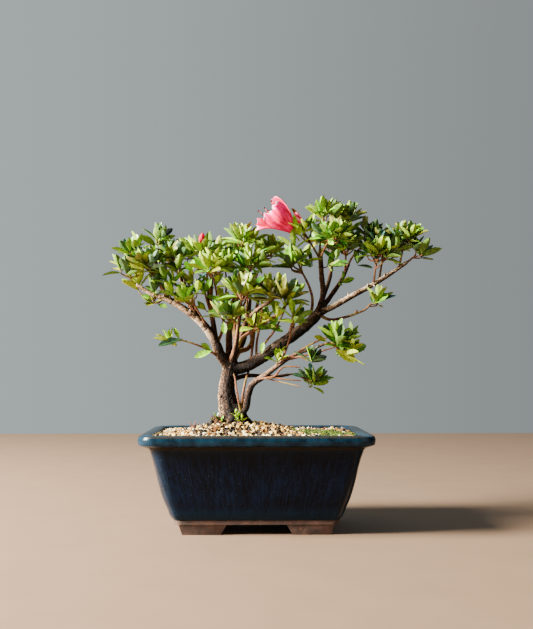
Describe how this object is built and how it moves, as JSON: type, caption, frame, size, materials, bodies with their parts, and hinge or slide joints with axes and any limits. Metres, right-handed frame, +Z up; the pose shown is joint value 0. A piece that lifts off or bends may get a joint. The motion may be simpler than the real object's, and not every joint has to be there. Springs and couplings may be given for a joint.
{
  "type": "azalea bonsai in a pot",
  "caption": "Azalea bonsai with a wide leafy canopy and an open pink bloom, in a blue glazed rectangular pot on clay feet, filled with gravel.",
  "frame": {"origin": "on the surface that the pot's feet stand on, under the middle of the whole plant's bounding box", "axes": "+Z up; +X along the pot's long side, towards the tall side of the tree; -Y towards the viewer of the picture"},
  "size_m": [0.2962, 0.1555, 0.2989],
  "materials": {
    "glaze": "glossy deep blue glaze, nearly black on the walls and teal at the edges",
    "clay": "unglazed red-brown clay",
    "gravel": "loose tan and cream gravel with a patch of moss",
    "bark": "rough grey-brown bark",
    "foliage": "fresh and dark green leaves with a soft sheen, and a salmon-pink bloom"
  },
  "bodies": {
    "root": {"pot_body": "glaze", "pot_base": "clay", "gravel": "gravel", "trunk": "bark", "left_bough": "bark", "left_riser": "bark", "left_inner_bough": "bark", "left_back_bough": "bark", "rising_stem": "bark", "centre_bough": "bark", "front_bough": "bark", "centre_right_bough": "bark", "back_bough": "bark", "right_bough": "bark", "right_outer_bough": "bark", "right_upright": "bark", "right_fan": "bark", "right_fan_back": "bark", "right_back_bough": "bark", "second_stem": "bark", "low_back_bough": "bark", "foliage_left_tip": "foliage", "foliage_left_edge": "foliage", "foliage_left_crest": "foliage", "foliage_left_front": "foliage", "foliage_left_shoulder": "foliage", "foliage_left_low": "foliage", "foliage_left_back": "foliage", "foliage_bud_tuft": "foliage", "foliage_mid_front": "foliage", "foliage_mid_back": "foliage", "foliage_top_middle": "foliage", "foliage_middle": "foliage", "foliage_top_right": "foliage", "foliage_back_top": "foliage", "foliage_front_upper": "foliage", "foliage_front_lower": "foliage", "foliage_inner_sprig": "foliage", "foliage_left_under": "foliage", "foliage_low_left": "foliage", "foliage_bloom_tuft": "foliage", "foliage_right_top": "foliage", "foliage_right_front": "foliage", "foliage_right_crest": "foliage", "foliage_right_inner": "foliage", "foliage_right_rear": "foliage", "foliage_right_shoulder": "foliage", "foliage_right_fore": "foliage", "foliage_right_far_rear": "foliage", "foliage_right_edge": "foliage", "foliage_right_tip": "foliage", "foliage_gap_sprig": "foliage", "foliage_mid_right": "foliage", "foliage_mid_rear": "foliage", "foliage_mid_low": "foliage", "foliage_low_right": "foliage", "foliage_second_tip": "foliage", "foliage_second_low": "foliage", "foliage_low_rear": "foliage", "foliage_rear_low": "foliage"}
  },
  "joints": []
}
